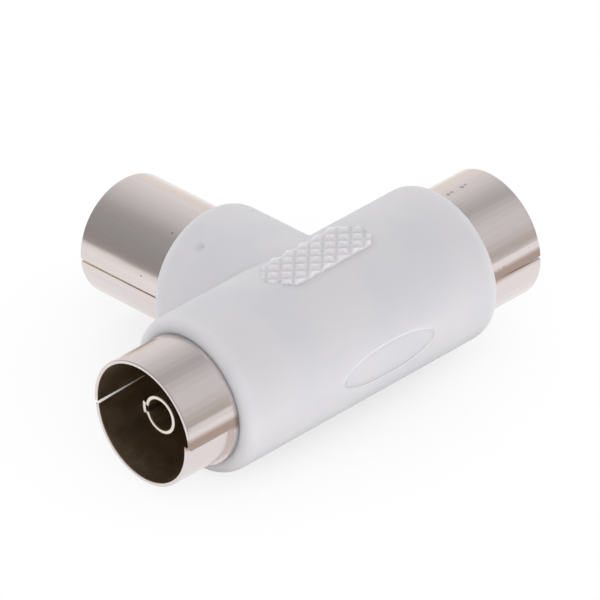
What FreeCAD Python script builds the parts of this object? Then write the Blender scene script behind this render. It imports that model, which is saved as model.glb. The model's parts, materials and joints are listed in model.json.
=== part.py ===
import FreeCAD, Part
import Sketcher
import math
import os

# Coaxial splitter: a moulded T with an aerial socket at each end of its barrel and a plug on its stem.
# Everything is drawn about the point where the barrel's axis (X) meets the stem's axis (Y).
# The finished pieces are then shifted so that the origin lies under the middle of the splitter.

Vector = FreeCAD.Vector
Rotation = FreeCAD.Rotation
Placement = FreeCAD.Placement

# Driving dimensions in millimetres and degrees: alias, value, meaning
DRIVING = [
    ("barrel_wall", 1.125, "plastic round the barrel's shields"),
    ("barrel_left", 12.5, "stem axis to the left end of the moulded barrel"),
    ("barrel_right", 12.9, "stem axis to the right end of the moulded barrel"),
    ("stem_wall", 1.1, "plastic round the stem's shields"),
    ("stem_reach", 11.5, "barrel axis to the end of the moulded stem"),
    ("end_chamfer", 0.6, "chamfer of the moulding's three open ends"),
    ("crease_round", 0.5, "round where the stem meets the barrel"),
    ("grip_point", 5.0, "stem axis to the pointed end of each raised grip"),
    ("grip_end", 5.2, "stem axis to the blunt end of each raised grip"),
    ("grip_width", 3.7, "width of each raised grip"),
    ("grip_corner", 1.0, "cut-off corners of the blunt end"),
    ("grip_rise", 0.12, "grip's top above the barrel's highest line"),
    ("knurl_pitch", 1.0, "distance between neighbouring grip grooves"),
    ("knurl_shift", 0.32, "sideways place of the groove crossing nearest the stem axis"),
    ("knurl_depth", 0.24, "depth of a grip groove"),
    ("knurl_width", 0.8, "width of a grip groove at the grip's top"),
    ("knurl_floor", 0.06, "width of a grip groove at its floor"),
    ("oval_length", 9.2, "length of the shallow oval on the barrel's side"),
    ("oval_height", 2.9, "height of that oval"),
    ("oval_depth", 0.1, "depth of that oval"),
    ("oval_place", 1.5, "stem axis to the oval's middle"),
    ("oval_drop", 0.7, "oval's middle below the barrel's axis"),
    ("sheet_thickness", 0.3, "thickness of the shields' plated sheet"),
    ("socket_bore", 9.55, "inside of each socket's shell"),
    ("plug_diameter", 9.5, "outside of the plug's shell"),
    ("left_reach", 17.25, "stem axis to the left socket's rim"),
    ("right_reach", 18.05, "stem axis to the right socket's rim"),
    ("plug_reach", 20.25, "barrel axis to the plug's rim"),
    ("seam_gap", 0.2, "opening between the shield halves at a rim"),
    ("seam_run", 4.2, "length over which that opening closes at a socket"),
    ("plug_seam_run", 9.5, "length over which it narrows at the plug"),
    ("seam_close", 0.01, "opening at the inner end of a socket's run"),
    ("plug_seam_close", 0.13, "opening at the inner end of the plug's run"),
    ("lap", 0.13, "how far the upper half laps over the lower at the left socket"),
    ("squeeze", 0.24, "how much tighter the lower half is bent at the left socket"),
    ("squeeze_side", 0.17, "sideways shift of that tighter half"),
    ("squeeze_drop", 0.14, "downward shift of that tighter half"),
    ("squeeze_stand", 0.15, "moulding's end to the start of that tighter half"),
    ("rib_depth", 0.35, "depth of the rolled rib that locks bead and moulding to the shields at the plug"),
    ("rib_width", 0.7, "width of that rib's groove"),
    ("bead_thickness", 3.0, "thickness of each insulating bead"),
    ("bead_stand", 0.7, "side of the stem's shields to each socket's bead"),
    ("bead_lead", 0.55, "moulded stem's end to the front of the plug's bead"),
    ("contact_hole", 2.45, "hole of a rolled socket contact"),
    ("contact_wall", 0.3, "sheet of a rolled socket contact"),
    ("contact_recess", 1.72, "socket's rim to its contact's tip"),
    ("contact_tail", 2.0, "length of contact or pin behind its bead"),
    ("contact_slit", 20.0, "angle of a rolled contact's open seam"),
    ("contact_lap", 34.0, "angle that the contact's free edge laps over its seam"),
    ("pin_diameter", 2.35, "plug's centre pin"),
    ("pin_recess", 0.3, "plug's rim to the pin's tip"),
    ("pin_point", 0.6, "length of the pin's tapered tip"),
    ("pin_tip", 1.3, "diameter of the pin's tip"),
    ("pin_seat", 2.8, "pin's thicker seat in its bead"),
    ("strip_thickness", 0.4, "thickness of the strip that joins contacts and pin"),
    ("strip_width", 2.0, "width of that strip"),
    ("cradle_turn", 130.0, "angle over which the strip's cradles hold a tail"),
    ("fit_clearance", 0.02, "clearance all round where a piece fits in another"),
]

# Sizes worked out from the driving ones: alias, formula
DERIVED = [
    ("barrel_radius", "=socket_bore / 2 + sheet_thickness + barrel_wall"),
    ("stem_radius", "=plug_diameter / 2 + stem_wall"),
    ("grip_top", "=socket_bore / 2 + sheet_thickness + barrel_wall + grip_rise"),
    ("socket_inner", "=socket_bore / 2"),
    ("socket_outer", "=socket_bore / 2 + sheet_thickness"),
    ("plug_outer", "=plug_diameter / 2"),
    ("plug_inner", "=plug_diameter / 2 - sheet_thickness"),
    ("tight_outer", "=socket_bore / 2 + sheet_thickness - squeeze"),
    ("tight_inner", "=socket_bore / 2 - squeeze"),
    ("tight_start", "=barrel_left + squeeze_stand"),
    ("groove_side", "=rib_width / 2 + sheet_thickness"),
    ("contact_inner", "=contact_hole / 2"),
    ("contact_outer", "=contact_hole / 2 + contact_wall"),
    ("lap_outer", "=contact_hole / 2 + 2 * contact_wall + fit_clearance"),
    ("cradle_inner", "=contact_hole / 2 + contact_wall + fit_clearance"),
    ("cradle_outer", "=contact_hole / 2 + contact_wall + fit_clearance + strip_thickness"),
    ("strip_floor", "=-(contact_hole / 2 + contact_wall + fit_clearance + strip_thickness * 3 / 2)"),
    ("bead_back", "=plug_diameter / 2 + bead_stand"),
    ("bead_front", "=plug_diameter / 2 + bead_stand + bead_thickness"),
    ("plug_bead", "=stem_reach + bead_lead - bead_thickness"),
    ("left_contact_length", "=left_reach - contact_recess - plug_diameter / 2 - bead_stand + contact_tail"),
    ("right_contact_length", "=right_reach - contact_recess - plug_diameter / 2 - bead_stand + contact_tail"),
    ("beyond", "=sheet_thickness + 1"),
    ("origin_x", "=(left_reach - right_reach) / 2"),
    ("origin_y", "=(socket_bore / 2 + sheet_thickness + barrel_wall - plug_reach) / 2"),
    ("origin_z", "=socket_bore / 2 + sheet_thickness + barrel_wall + grip_rise"),
]

ALONG_X = Rotation(Vector(0, 1, 0), 90)
ALONG_Y = Rotation(Vector(1, 0, 0), -90)

# Where each rolled contact starts along the barrel, and how long it is
LEFT_CONTACT = ("sizes.contact_recess - sizes.left_reach", "sizes.left_contact_length")
RIGHT_CONTACT = ("sizes.bead_back - sizes.contact_tail", "sizes.right_contact_length")

# Turns about a rolled contact's axis that put its seam on the stem's side or on the far side
LEFT_SEAM = 90.0
RIGHT_SEAM = 270.0

# Spare turn that a bead leaves at either side of a contact's lapped seam, in degrees
SEAM_SPARE = 2.0

doc = FreeCAD.newDocument("coaxial_splitter")


def make_sheet():
    """Writes the sizes into the spreadsheet, each under its alias."""
    sheet = doc.addObject("Spreadsheet::Sheet", "sizes")
    rows = [(alias, str(value), meaning) for alias, value, meaning in DRIVING]
    rows += [(alias, formula, "worked out") for alias, formula in DERIVED]
    for row, (alias, content, meaning) in enumerate(rows, start=1):
        sheet.set(f"A{row}", meaning)
        sheet.set(f"B{row}", content)
        sheet.setAlias(f"B{row}", alias)
    doc.recompute()
    return sheet


def bind(thing, expressions):
    """Ties an object's properties to formulas of the sheet's cells."""
    for name, expression in expressions.items():
        thing.setExpression(name, expression)
    return thing


# Plain pieces and booleans

def rod(name, direction, radius, start, length, turn=0.0, angle=None, side=None, drop=None):
    """A cylinder, or a sector of one, along X or Y. side and drop place its axis along Y and Z."""
    piece = doc.addObject("Part::Cylinder", name)
    base = ALONG_X if direction == "x" else ALONG_Y
    piece.Placement = Placement(Vector(), base.multiply(Rotation(Vector(0, 0, 1), turn)))
    bind(piece, {"Radius": radius, "Height": length, f"Placement.Base.{direction}": start})
    for field, expression in (("Angle", angle), ("Placement.Base.y", side), ("Placement.Base.z", drop)):
        if expression is not None:
            piece.setExpression(field, expression)
    return piece


def block(name, low, size):
    """A box from its lowest corner and its sizes along X, Y and Z."""
    piece = doc.addObject("Part::Box", name)
    corner = {f"Placement.Base.{axis}": place for axis, place in zip("xyz", low)}
    return bind(piece, {**corner, "Length": size[0], "Width": size[1], "Height": size[2]})


def fuse(name, *pieces):
    joined = doc.addObject("Part::MultiFuse", name)
    joined.Shapes = list(pieces)
    joined.Refine = True
    return joined


def cut(name, base, tool):
    rest = doc.addObject("Part::Cut", name)
    rest.Base = base
    rest.Tool = tool
    return rest


def common(name, *pieces):
    shared = doc.addObject("Part::MultiCommon", name)
    shared.Shapes = list(pieces)
    return shared


def ring(name, direction, outer, inner, start, length, **sector):
    """A tube, or a sector of one."""
    outside = rod(f"{name}_outside", direction, outer, start, length, **sector)
    hollow = rod(f"{name}_hollow", direction, inner, start, length)
    return cut(name, outside, hollow)


# Sketches and features of the moulding

def new_sketch(body, name, role):
    """An empty sketch on one of the body's own origin planes."""
    sketch = body.newObject("Sketcher::SketchObject", name)
    plane = next(p for p in body.Origin.OriginFeatures if p.Role == role)
    sketch.AttachmentSupport = (plane, [""])
    sketch.MapMode = "FlatFace"
    return sketch


def circle_sketch(body, name, role, diameter):
    sketch = new_sketch(body, name, role)
    sketch.addGeometry(Part.Circle(Vector(), Vector(0, 0, 1), 5.0))
    sketch.addConstraint(Sketcher.Constraint("Coincident", 0, 3, -1, 1))
    number = sketch.addConstraint(Sketcher.Constraint("Diameter", 0, 10.0))
    sketch.setExpression(f"Constraints[{number}]", diameter)
    return sketch


def grip_sketch(body):
    """The grip's outline: pointed at 45 degrees at one end, with cut-off corners at the other."""
    sketch = new_sketch(body, "grip_outline", "XY_Plane")
    half, corner = "sizes.grip_width / 2", "sizes.grip_corner"
    corners = [
        ("-sizes.grip_point", "0"),
        (f"{half} - sizes.grip_point", f"-{half}"),
        (f"sizes.grip_end - {corner}", f"-{half}"),
        ("sizes.grip_end", f"{corner} - {half}"),
        ("sizes.grip_end", f"{half} - {corner}"),
        (f"sizes.grip_end - {corner}", half),
        (f"{half} - sizes.grip_point", half),
    ]
    rough = [(-5, 0), (-3, -2), (4, -2), (5, -1), (5, 1), (4, 2), (-3, 2)]
    points = [Vector(across, along, 0) for across, along in rough]
    count = len(points)
    for number in range(count):
        sketch.addGeometry(Part.LineSegment(points[number], points[(number + 1) % count]))
    for number in range(count):
        following = (number + 1) % count
        sketch.addConstraint(Sketcher.Constraint("Coincident", number, 2, following, 1))
    for number, places in enumerate(corners):
        for kind, place, rough_place in zip(("DistanceX", "DistanceY"), places, rough[number]):
            if place == "0":
                sketch.addConstraint(Sketcher.Constraint("PointOnObject", number, 1, -1))
                continue
            new = sketch.addConstraint(Sketcher.Constraint(kind, -1, 1, number, 1, float(rough_place)))
            sketch.setExpression(f"Constraints[{new}]", place)
    return sketch


def pad(body, name, sketch, length, backwards=None, reverse=False):
    """A pad to one side of its sketch, or to both if it has a length backwards, too."""
    feature = body.newObject("PartDesign::Pad", name)
    feature.Profile = sketch
    feature.Reversed = reverse
    bind(feature, {"Length": length})
    if backwards is not None:
        feature.SideType = "Two sides"
        bind(feature, {"Length2": backwards})
    return feature


def edges_where(shape, test):
    return [f"Edge{number}" for number, edge in enumerate(shape.Edges, start=1) if test(edge)]


def dress(body, kind, name, base, test, **size):
    """Rounds or chamfers the edges of the last feature that pass a test. kind is Fillet or Chamfer."""
    doc.recompute()
    feature = body.newObject(f"PartDesign::{kind}", name)
    feature.Base = (base, edges_where(base.Shape, test))
    return bind(feature, size)


def is_rim(edge):
    return isinstance(edge.Curve, Part.Circle)


def is_crease(edge):
    return isinstance(edge.Curve, Part.BSplineCurve)


def moulding_blank(sizes):
    """The T of plastic before it is hollowed: barrel, stem, their soft crease and the two raised grips."""
    body = doc.addObject("PartDesign::Body", "moulding_blank")
    circle = circle_sketch(body, "barrel_circle", "YZ_Plane", "2 * sizes.barrel_radius")
    barrel = pad(body, "barrel", circle, "sizes.barrel_right", backwards="sizes.barrel_left")
    dress(body, "Chamfer", "barrel_ends", barrel, is_rim, Size="sizes.end_chamfer")
    circle = circle_sketch(body, "stem_circle", "XZ_Plane", "2 * sizes.stem_radius")
    stem = pad(body, "stem", circle, "sizes.stem_reach", reverse=True)
    stem_end = dress(body, "Chamfer", "stem_end", stem,
                     lambda edge: is_rim(edge) and math.isclose(edge.CenterOfMass.y, sizes.stem_reach),
                     Size="sizes.end_chamfer")
    dress(body, "Fillet", "crease", stem_end, is_crease, Radius="sizes.crease_round")
    pad(body, "grips", grip_sketch(body), "sizes.grip_top", backwards="sizes.grip_top")
    doc.recompute()
    return body


def knurl_cutter(sizes):
    """Two crossed sets of V grooves at 45 degrees, trimmed to the upper grip's outline."""
    reach = max(sizes.grip_point, sizes.grip_end) + sizes.grip_width / 2
    count = math.ceil(reach / math.sqrt(2) / sizes.knurl_pitch)
    grooves = []
    for turn in (45, -45):
        for number in range(-count, count + 1):
            groove = doc.addObject("Part::Wedge", f"groove_{len(grooves)}")
            upright = Rotation(Vector(1, 0, 0), 90)
            groove.Placement = Placement(Vector(), Rotation(Vector(0, 0, 1), turn).multiply(upright))
            step = f"{number} * sizes.knurl_pitch * sqrt(2)"
            sign = "-" if turn > 0 else ""
            bind(groove, {
                "Xmin": "-2 * sizes.grip_end", "Xmax": "2 * sizes.grip_end",
                "X2min": "-2 * sizes.grip_end", "X2max": "2 * sizes.grip_end",
                "Ymin": "-sizes.knurl_depth", "Ymax": "0",
                "Zmin": "-sizes.knurl_floor / 2", "Zmax": "sizes.knurl_floor / 2",
                "Z2min": "-sizes.knurl_width / 2", "Z2max": "sizes.knurl_width / 2",
                "Placement.Base.x": step,
                "Placement.Base.y": "sizes.knurl_shift",
                "Placement.Base.z": "sizes.grip_top",
            })
            grooves.append(groove)
    outline = doc.addObject("Part::Extrusion", "grip_trim")
    outline.Base = doc.getObject("grip_outline")
    outline.DirMode = "Normal"
    outline.Solid = True
    bind(outline, {"LengthFwd": "2 * sizes.grip_top"})
    return common("knurl_cutter", fuse("grooves", *grooves), outline)


def oval_cutter():
    """A shallow oval of even depth, let into the barrel's side away from the stem."""
    oval = doc.addObject("Part::Ellipse", "oval")
    oval.Placement = Placement(Vector(), Rotation(Vector(1, 0, 0), 90))
    bind(oval, {
        "MajorRadius": "sizes.oval_length / 2", "MinorRadius": "sizes.oval_height / 2",
        "Placement.Base.x": "sizes.oval_place", "Placement.Base.z": "-sizes.oval_drop",
    })
    prism = doc.addObject("Part::Extrusion", "oval_prism")
    prism.Base = oval
    prism.DirMode = "Custom"
    prism.Dir = Vector(0, -1, 0)
    prism.Solid = True
    bind(prism, {"LengthFwd": "sizes.barrel_radius + sizes.beyond"})
    skin = ring("oval_skin", "x", "sizes.barrel_radius + sizes.beyond",
                "sizes.barrel_radius - sizes.oval_depth",
                "sizes.oval_place - sizes.oval_length / 2 - sizes.beyond",
                "sizes.oval_length + 2 * sizes.beyond")
    return common("oval_cutter", skin, prism)


# The two shield halves

def t_form(name, barrel_radius, stem_radius, over, groove_radius, half_groove):
    """A T of two round bars with the groove of the plug's rib. over lengthens its three ends."""
    barrel = rod(f"{name}_barrel", "x", barrel_radius, f"-sizes.left_reach - {over}",
                 f"sizes.left_reach + sizes.right_reach + 2 * {over}")
    stem = rod(f"{name}_stem", "y", stem_radius, "0", f"sizes.plug_reach + {over}")
    groove = ring(f"{name}_groove", "y", f"{stem_radius} + sizes.beyond", groove_radius,
                  f"sizes.stem_reach - sizes.rib_width / 2 - {half_groove}", f"2 * {half_groove}")
    return cut(name, fuse(f"{name}_tee", barrel, stem), groove)


def outer_form():
    """What the shields fill from outside: it hollows the moulding, too."""
    return t_form("outer_form", "sizes.socket_outer", "sizes.plug_outer", "0",
                  "sizes.plug_outer - sizes.rib_depth", "sizes.rib_width / 2")


def inner_form():
    """The space inside the shields: it shapes the beads, too."""
    return t_form("inner_form", "sizes.socket_inner", "sizes.plug_inner", "sizes.beyond",
                  "sizes.plug_inner - sizes.rib_depth", "sizes.groove_side")


def half_space(name, low_x, low_z, length, height, low_y="-sizes.barrel_radius", width=None):
    """A block that keeps one half of the shields, or a stretch of it."""
    width = width or "sizes.barrel_radius + sizes.plug_reach + sizes.beyond"
    return block(name, (low_x, low_y, low_z), (length, width, height))


def shield_upper(shell):
    """The half shell above the mid-plane, whose edge laps a little over the lower one at the left socket."""
    above = half_space("above", "-sizes.left_reach", "0", "sizes.left_reach + sizes.right_reach",
                       "sizes.barrel_radius")
    lap = half_space("lap_strip", "-sizes.left_reach", "-sizes.lap",
                     "sizes.left_reach - sizes.tight_start - sizes.sheet_thickness", "sizes.lap",
                     width="sizes.barrel_radius")
    return common("upper_half", shell, fuse("above_and_lap", above, lap))


def seam_wedge(name, turn, places, run, close, low_side, high_side):
    """A thin wedge that opens the seam to its full gap at a rim, and less inwards, where turn points it."""
    wedge = doc.addObject("Part::Wedge", name)
    wedge.Placement = Placement(Vector(), Rotation(Vector(0, 0, 1), turn))
    bind(wedge, {f"Placement.Base.{axis}": place for axis, place in places.items()})
    return bind(wedge, {
        "Xmin": low_side, "Xmax": high_side, "X2min": low_side, "X2max": high_side,
        "Ymin": "0", "Ymax": run,
        "Zmin": "-sizes.seam_gap", "Zmax": "0",
        "Z2min": f"-{close}", "Z2max": "0",
    })


def tight_half():
    """The lower half's left end, bent tighter and pushed aside, with the step that joins it to the rest."""
    shift = {"side": "sizes.squeeze_side", "drop": "-sizes.squeeze_drop"}
    start = "-sizes.left_reach"
    length = "sizes.left_reach - sizes.tight_start"
    outside = rod("tight_outside", "x", "sizes.tight_outer", start, length, **shift)
    step = rod("tight_step", "x", "sizes.socket_outer", "-sizes.tight_start - sizes.sheet_thickness",
               "sizes.sheet_thickness")
    hollow = rod("tight_hollow", "x", "sizes.tight_inner", start, length, **shift)
    return cut("tight_tube", fuse("tight_solid", outside, step), hollow)


def shield_lower(shell):
    """The half shell below the mid-plane, tighter at the left socket, with its seams open at the rims."""
    below = half_space("below", "-sizes.tight_start", "-sizes.barrel_radius",
                       "sizes.tight_start + sizes.right_reach", "sizes.barrel_radius")
    below_left = half_space("below_left", "-sizes.left_reach", "-sizes.barrel_radius",
                            "sizes.left_reach - sizes.tight_start", "sizes.barrel_radius")
    half = fuse("lower_whole", common("lower_main", shell, below),
                common("lower_left", tight_half(), below_left))
    width = "sizes.barrel_radius"
    wedges = fuse(
        "seam_wedges",
        seam_wedge("left_seam", -90, {"x": "-sizes.left_reach"}, "sizes.seam_run", "sizes.seam_close",
                   f"-{width}", "0"),
        seam_wedge("right_seam", 90, {"x": "sizes.right_reach"}, "sizes.seam_run", "sizes.seam_close",
                   f"-{width}", width),
        seam_wedge("plug_seam", 180, {"y": "sizes.plug_reach"}, "sizes.plug_seam_run",
                   "sizes.plug_seam_close", f"-{width}", width),
    )
    return cut("lower_half", half, wedges)


# The pieces inside

def rolled_contact(name, span, seam_turn, sizes):
    """A tube rolled from sheet, whose free edge laps over its open seam."""
    slit, lap = sizes.contact_slit, sizes.contact_lap
    tube = ring(f"{name}_tube", "x", "sizes.contact_outer", "sizes.contact_inner", *span,
                turn=seam_turn + slit / 2, angle="360 - sizes.contact_slit")
    edge = ring(f"{name}_edge", "x", "sizes.lap_outer", "sizes.contact_outer + sizes.fit_clearance", *span,
                turn=seam_turn - lap / 2, angle="sizes.contact_lap")
    step = ring(f"{name}_step", "x", "sizes.lap_outer", "sizes.contact_inner", *span,
                turn=seam_turn - lap / 2, angle="(sizes.contact_lap - sizes.contact_slit) / 2")
    return fuse(name, tube, edge, step)


def contact_room(name, span, seam_turn, sizes):
    """The room that a rolled contact takes in its bead, with clearance all round."""
    tube = rod(f"{name}_tube", "x", "sizes.contact_outer + sizes.fit_clearance", *span)
    edge = rod(f"{name}_edge", "x", "sizes.lap_outer + sizes.fit_clearance", *span,
               turn=seam_turn - sizes.contact_lap / 2 - SEAM_SPARE,
               angle=f"sizes.contact_lap + {2 * SEAM_SPARE}")
    return fuse(name, tube, edge)


def bead(name, inner, low, size, room):
    """An insulating bead: the shields' inner form between two planes, with a hole for its conductor."""
    return cut(name, common(f"{name}_blank", inner, block(f"{name}_slab", low, size)), room)


def beads(inner, sizes):
    wide, thick = "2 * sizes.barrel_radius", "sizes.bead_thickness"
    side = "-sizes.barrel_radius"
    left = bead("left_insulator", inner, ("-sizes.bead_front", side, side), (thick, wide, wide),
                contact_room("left_room", LEFT_CONTACT, LEFT_SEAM, sizes))
    right = bead("right_insulator", inner, ("sizes.bead_back", side, side), (thick, wide, wide),
                 contact_room("right_room", RIGHT_CONTACT, RIGHT_SEAM, sizes))
    pin_room = rod("pin_room", "y", "sizes.pin_seat / 2 + sizes.fit_clearance", "sizes.plug_bead", thick)
    plug = bead("plug_insulator", inner, (side, "sizes.plug_bead", side), (wide, thick, wide), pin_room)
    return left, right, plug


def plug_pin():
    """The plug's turned pin: tapered tip, shank, thicker seat in the bead and a collar behind it."""
    rear = "sizes.plug_bead - sizes.contact_tail"
    seat_end = "sizes.plug_bead + sizes.bead_thickness"
    taper = "sizes.plug_reach - sizes.pin_recess - sizes.pin_point"
    collar = rod("pin_collar", "y", "sizes.contact_outer", rear, "sizes.contact_tail")
    seat = rod("pin_seat", "y", "sizes.pin_seat / 2", rear, f"{seat_end} - ({rear})")
    shank = rod("pin_shank", "y", "sizes.pin_diameter / 2", rear, f"{taper} - ({rear})")
    tip = doc.addObject("Part::Cone", "pin_taper")
    tip.Placement = Placement(Vector(), ALONG_Y)
    bind(tip, {"Radius1": "sizes.pin_diameter / 2", "Radius2": "sizes.pin_tip / 2",
               "Height": "sizes.pin_point", "Placement.Base.y": taper})
    return fuse("pin", collar, seat, shank, tip)


def cradle(name, direction, start, downwards, sizes):
    """A trough of the strip's own sheet, curled up round a tail. downwards turns its middle down."""
    return ring(name, direction, "sizes.cradle_outer", "sizes.cradle_inner", start,
                "sizes.contact_tail - sizes.fit_clearance",
                turn=downwards - sizes.cradle_turn / 2, angle="sizes.cradle_turn")


def centre_strip(sizes):
    """The flat T of brass under the three tails, with a cradle at each of its ends."""
    floor, wide, thick = "sizes.strip_floor", "sizes.strip_width", "sizes.strip_thickness"
    reach = "(sizes.bead_back - sizes.fit_clearance)"
    along = block("strip_along", (f"-{reach}", "-sizes.strip_width / 2", floor),
                  (f"2 * {reach}", wide, thick))
    leg = block("strip_leg", ("-sizes.strip_width / 2", "0", floor),
                (wide, "sizes.plug_bead - sizes.fit_clearance", thick))
    left = cradle("left_cradle", "x", "sizes.fit_clearance - sizes.bead_back", 0, sizes)
    right = cradle("right_cradle", "x", "sizes.bead_back - sizes.contact_tail", 0, sizes)
    plug = cradle("plug_cradle", "y", "sizes.plug_bead - sizes.contact_tail", 90, sizes)
    return fuse("strip", along, leg, left, right, plug)


# The finished pieces

def underside(cutter):
    """The same cutter for the lower grip."""
    mirror = doc.addObject("Part::Mirroring", f"{cutter.Name}_below")
    mirror.Source = cutter
    mirror.Normal = Vector(0, 0, 1)
    return mirror


def build_pieces(sizes):
    """Every separate piece of the splitter, under the name of its node."""
    outer, inner = outer_form(), inner_form()
    shell = cut("shell", outer, inner)
    blank = moulding_blank(sizes)
    knurl = knurl_cutter(sizes)
    marks = fuse("surface_marks", knurl, underside(knurl), oval_cutter())
    left_bead, right_bead, plug_bead = beads(inner, sizes)
    return {
        "moulded_housing": cut("housing", cut("hollow_housing", blank, outer), marks),
        "shield_upper": shield_upper(shell),
        "shield_lower": shield_lower(shell),
        "bead_left": left_bead,
        "bead_right": right_bead,
        "bead_plug": plug_bead,
        "contact_left": rolled_contact("left_contact", LEFT_CONTACT, LEFT_SEAM, sizes),
        "contact_right": rolled_contact("right_contact", RIGHT_CONTACT, RIGHT_SEAM, sizes),
        "plug_pin": plug_pin(),
        "centre_strip": centre_strip(sizes),
    }


def place_and_name(pieces):
    """Gives each finished piece its label and moves it from the axes' crossing to the part's own frame."""
    for label, piece in pieces.items():
        piece.Label = label
        bind(piece, {f"Placement.Base.{axis}": f"sizes.origin_{axis}" for axis in "xyz"})


def check_document(pieces):
    """Stops the run if any feature failed or a piece isn't one sound solid."""
    failed = [thing.Name for thing in doc.Objects if {"Invalid", "Error"} & set(thing.State)]
    if failed:
        raise RuntimeError(f"features that failed: {failed}")
    for label, piece in pieces.items():
        shape = piece.Shape
        if shape.isNull() or not shape.isValid() or len(shape.Solids) != 1:
            raise RuntimeError(f"{label} isn't one sound solid")
        print(f"{label}: {shape.Volume:.2f} mm3")


def main():
    sizes = make_sheet()
    pieces = build_pieces(sizes)
    place_and_name(pieces)
    doc.recompute()
    check_document(pieces)
    os.makedirs("parts", exist_ok=True)
    for label, piece in pieces.items():
        piece.Shape.exportStep(f"parts/{label}.step")


main()
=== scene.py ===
"""A coaxial splitter: its looks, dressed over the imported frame.

The body is one soft, pale moulding with a knurled grip. Nickel-plated half shells stand out of its three
ends, and rolled contacts and a turned pin stand in brown insulating beads. The camera looks down on the
left socket, as in the photograph.
"""

import json
import logging
import math
from collections.abc import Callable
from dataclasses import dataclass
from enum import Enum

import bmesh
import bpy
from mathutils import Matrix, Vector

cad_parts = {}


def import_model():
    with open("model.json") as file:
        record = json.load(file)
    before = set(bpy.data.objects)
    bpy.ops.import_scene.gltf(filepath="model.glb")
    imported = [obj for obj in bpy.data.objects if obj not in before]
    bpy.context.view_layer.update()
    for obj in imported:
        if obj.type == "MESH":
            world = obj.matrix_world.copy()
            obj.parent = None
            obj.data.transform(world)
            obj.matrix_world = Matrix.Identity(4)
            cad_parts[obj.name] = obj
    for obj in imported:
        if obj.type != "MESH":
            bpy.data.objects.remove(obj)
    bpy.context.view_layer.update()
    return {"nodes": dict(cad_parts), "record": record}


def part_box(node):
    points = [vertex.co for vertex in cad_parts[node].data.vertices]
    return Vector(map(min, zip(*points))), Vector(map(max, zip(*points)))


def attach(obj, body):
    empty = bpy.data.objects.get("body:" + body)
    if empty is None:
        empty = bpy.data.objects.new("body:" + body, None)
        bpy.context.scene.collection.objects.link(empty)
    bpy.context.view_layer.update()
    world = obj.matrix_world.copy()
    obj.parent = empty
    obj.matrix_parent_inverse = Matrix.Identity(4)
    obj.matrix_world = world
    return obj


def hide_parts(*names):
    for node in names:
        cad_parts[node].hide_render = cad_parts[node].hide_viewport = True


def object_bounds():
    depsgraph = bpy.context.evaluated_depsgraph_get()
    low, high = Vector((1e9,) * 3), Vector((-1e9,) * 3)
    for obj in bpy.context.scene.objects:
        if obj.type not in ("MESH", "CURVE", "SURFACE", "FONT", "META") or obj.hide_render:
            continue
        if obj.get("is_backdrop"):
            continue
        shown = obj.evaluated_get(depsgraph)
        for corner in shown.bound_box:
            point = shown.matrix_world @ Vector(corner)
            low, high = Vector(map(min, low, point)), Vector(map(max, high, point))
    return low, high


LOG = logging.getLogger("coaxial_splitter")

MM = 0.001
IMAGE_PIXELS = 600
SENSOR_MM = 36.0
WHITE = "#ffffff"
# How far a vertex may lie from a plane and still count as on it
NEAR = 0.01 * MM
# Vertices nearer each other than this are one, and faces that bend less than this, in degrees, are flat
WELD = 0.0005 * MM
FLAT_BEND = 0.2
# A normal's share along a direction, above which a face counts as facing that way
FACES_ALONG = 0.5
# The barrel's shells reach 5.1 mm from their axis, so what lies further along Y belongs to the stem
STEM_STARTS = 5.15 * MM
# The oval and the barrel's front seams lie more than this in front of its axis
FRONT_STARTS = 4 * MM
# Nearly all of a noise texture's values lie between these
NOISE_LOW = 0.3
NOISE_HIGH = 0.7


class Slot(Enum):
    """The record's material slots for the pieces made here; nothing in the script gives them to the pieces.
    """

    HOUSING = "housing_plastic"
    SHEET = "plated_sheet"
    CONTACT = "plated_contact"


def linear(hex_colour: str) -> tuple[float, float, float, float]:
    """Turns an sRGB hex colour into linear light.

    Args:
        hex_colour: Six hex digits after a hash, such as "#d6d4d7".

    Returns:
        Red, green, blue and an alpha of 1.
    """
    digits = hex_colour.lstrip("#")
    channels = [int(digits[place:place + 2], 16) / 255 for place in (0, 2, 4)]
    red, green, blue = (
        value / 12.92 if value <= 0.04045 else ((value + 0.055) / 1.055) ** 2.4 for value in channels
    )
    return red, green, blue, 1.0


def add_node(
    tree: bpy.types.NodeTree, kind: str, settings: dict | None = None, links: dict | None = None
) -> bpy.types.Node:
    """Adds one node to a tree with its settings and its incoming links.

    Args:
        tree: The node tree that gets it.
        kind: Blender's name for the kind of node.
        settings: Properties of the node by name, and values of its inputs by socket name or number.
        links: The output socket that feeds each input, by socket name or number.

    Returns:
        The new node.
    """
    node = tree.nodes.new(kind)
    for name, value in (settings or {}).items():
        if isinstance(name, str) and hasattr(node, name):
            setattr(node, name, value)
        else:
            node.inputs[name].default_value = value
    for name, source in (links or {}).items():
        tree.links.new(source, node.inputs[name])
    return node


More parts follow.
